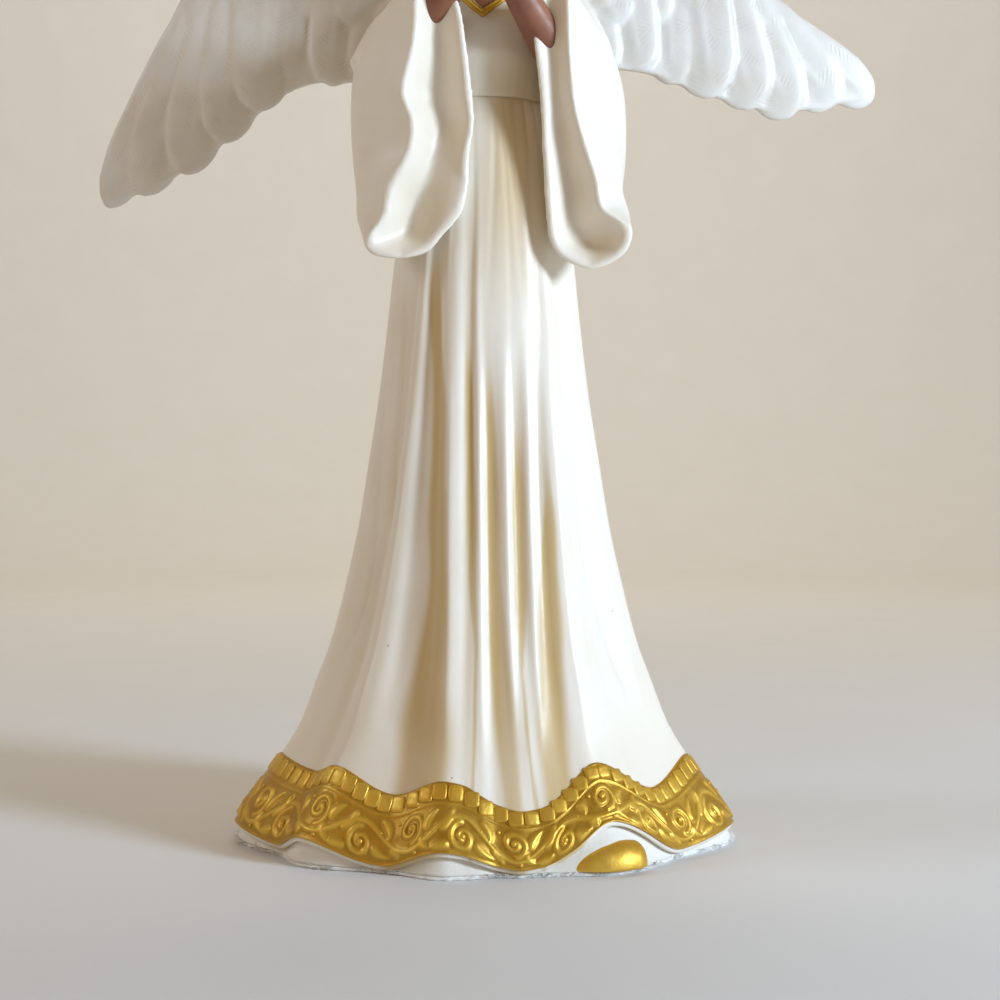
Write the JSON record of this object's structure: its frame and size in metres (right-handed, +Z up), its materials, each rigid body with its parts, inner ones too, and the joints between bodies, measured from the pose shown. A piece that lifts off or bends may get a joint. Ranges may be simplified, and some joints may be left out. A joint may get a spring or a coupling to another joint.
{
  "type": "angel ornament",
  "caption": "Standing angel figurine in an ivory gown with a gold hem border, bell sleeves, praying hands and feathered wings.",
  "frame": {"origin": "middle of the felt pad's underside, on the surface that the figure stands on", "axes": "+Z up through the figure, which faces -Y; its left hand and left wing are on the +X side"},
  "size_m": [0.252, 0.1243, 0.2962],
  "materials": {
    "ivory_glaze": "cast resin painted warm ivory under a semi-gloss lacquer",
    "gold_paint": "metallic gold paint over cast relief",
    "wing_pearl": "cast resin with a pearly white coat",
    "base_white": "off-white cast resin",
    "skin_paint": "satin brown skin paint",
    "hair_paint": "satin dark brown paint",
    "felt": "white felt with a fuzzy edge",
    "pin_steel": "plain steel pin"
  },
  "bodies": {
    "root": {"felt_pad": "felt", "base_plug": "base_white", "gown_skirt": "ivory_glaze", "hem_border": "gold_paint", "slipper_toe": "gold_paint", "gown_bodice": "ivory_glaze", "neckline_trim": "gold_paint", "sleeve_right": "ivory_glaze", "sleeve_left": "ivory_glaze", "forearm_right": "skin_paint", "forearm_left": "skin_paint", "head": "skin_paint", "hair": "hair_paint", "wing_right": "wing_pearl", "wing_left": "wing_pearl", "wing_pin_right_lower": "pin_steel", "wing_pin_right_upper": "pin_steel", "wing_pin_left_lower": "pin_steel", "wing_pin_left_upper": "pin_steel"}
  },
  "joints": []
}
